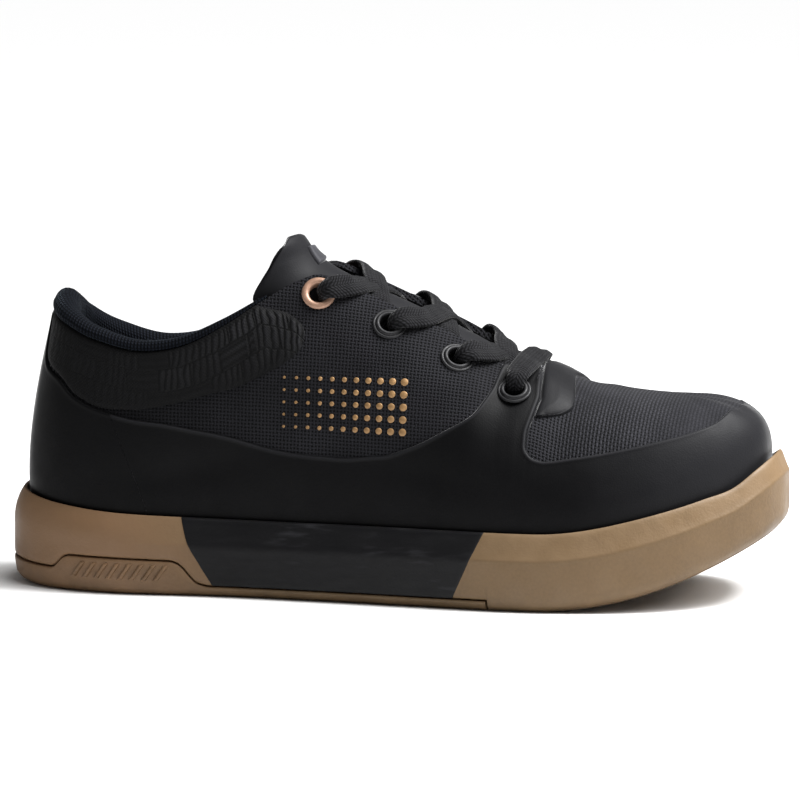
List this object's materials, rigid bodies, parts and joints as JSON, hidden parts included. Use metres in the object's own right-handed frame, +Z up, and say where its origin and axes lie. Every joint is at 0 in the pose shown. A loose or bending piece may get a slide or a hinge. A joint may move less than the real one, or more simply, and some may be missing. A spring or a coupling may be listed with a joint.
{
  "type": "low-cut lace-up sneaker",
  "caption": "Low-cut lace-up sneaker for the right foot, with a hollow mesh upper, smooth overlays, padded collar and tongue, and a thick gum rubber cup sole with side inlays.",
  "frame": {"origin": "middle of the shoe's length and width, on the floor under the sole", "axes": "+X to the toe, +Y to the inner (medial) side, +Z up"},
  "size_m": [0.28, 0.1014, 0.1257],
  "materials": {
    "gum_outsole": "matte gum rubber",
    "gum_cup": "satin gum rubber",
    "black_rubber": "satin black rubber",
    "insole_cloth": "matte cloth over foam",
    "mesh_cloth": "open woven mesh",
    "smooth_overlay": "matte smooth synthetic",
    "ribbed_cloth": "ribbed woven cloth",
    "knit_lining": "soft knit rib",
    "tongue_cloth": "matte smooth padded",
    "lace_cloth": "flat woven braid",
    "copper_eyelet": "satin tan enamel",
    "black_eyelet": "satin black"
  },
  "bodies": {
    "root": {"outsole": "gum_outsole", "midsole": "gum_cup", "side_panel_lateral": "black_rubber", "side_panel_medial": "black_rubber", "insole": "insole_cloth", "upper": "mesh_cloth", "heel_counter": "smooth_overlay", "mudguard": "smooth_overlay", "throat_tab": "smooth_overlay", "collar_panel_lateral": "ribbed_cloth", "collar_panel_medial": "ribbed_cloth", "collar_lining": "knit_lining", "tongue": "tongue_cloth", "lace": "lace_cloth", "eyelet_lateral_1": "copper_eyelet", "eyelet_medial_1": "copper_eyelet", "eyelet_lateral_2": "black_eyelet", "eyelet_lateral_3": "black_eyelet", "eyelet_lateral_4": "black_eyelet", "eyelet_medial_2": "black_eyelet", "eyelet_medial_3": "black_eyelet", "eyelet_medial_4": "black_eyelet"}
  },
  "joints": []
}
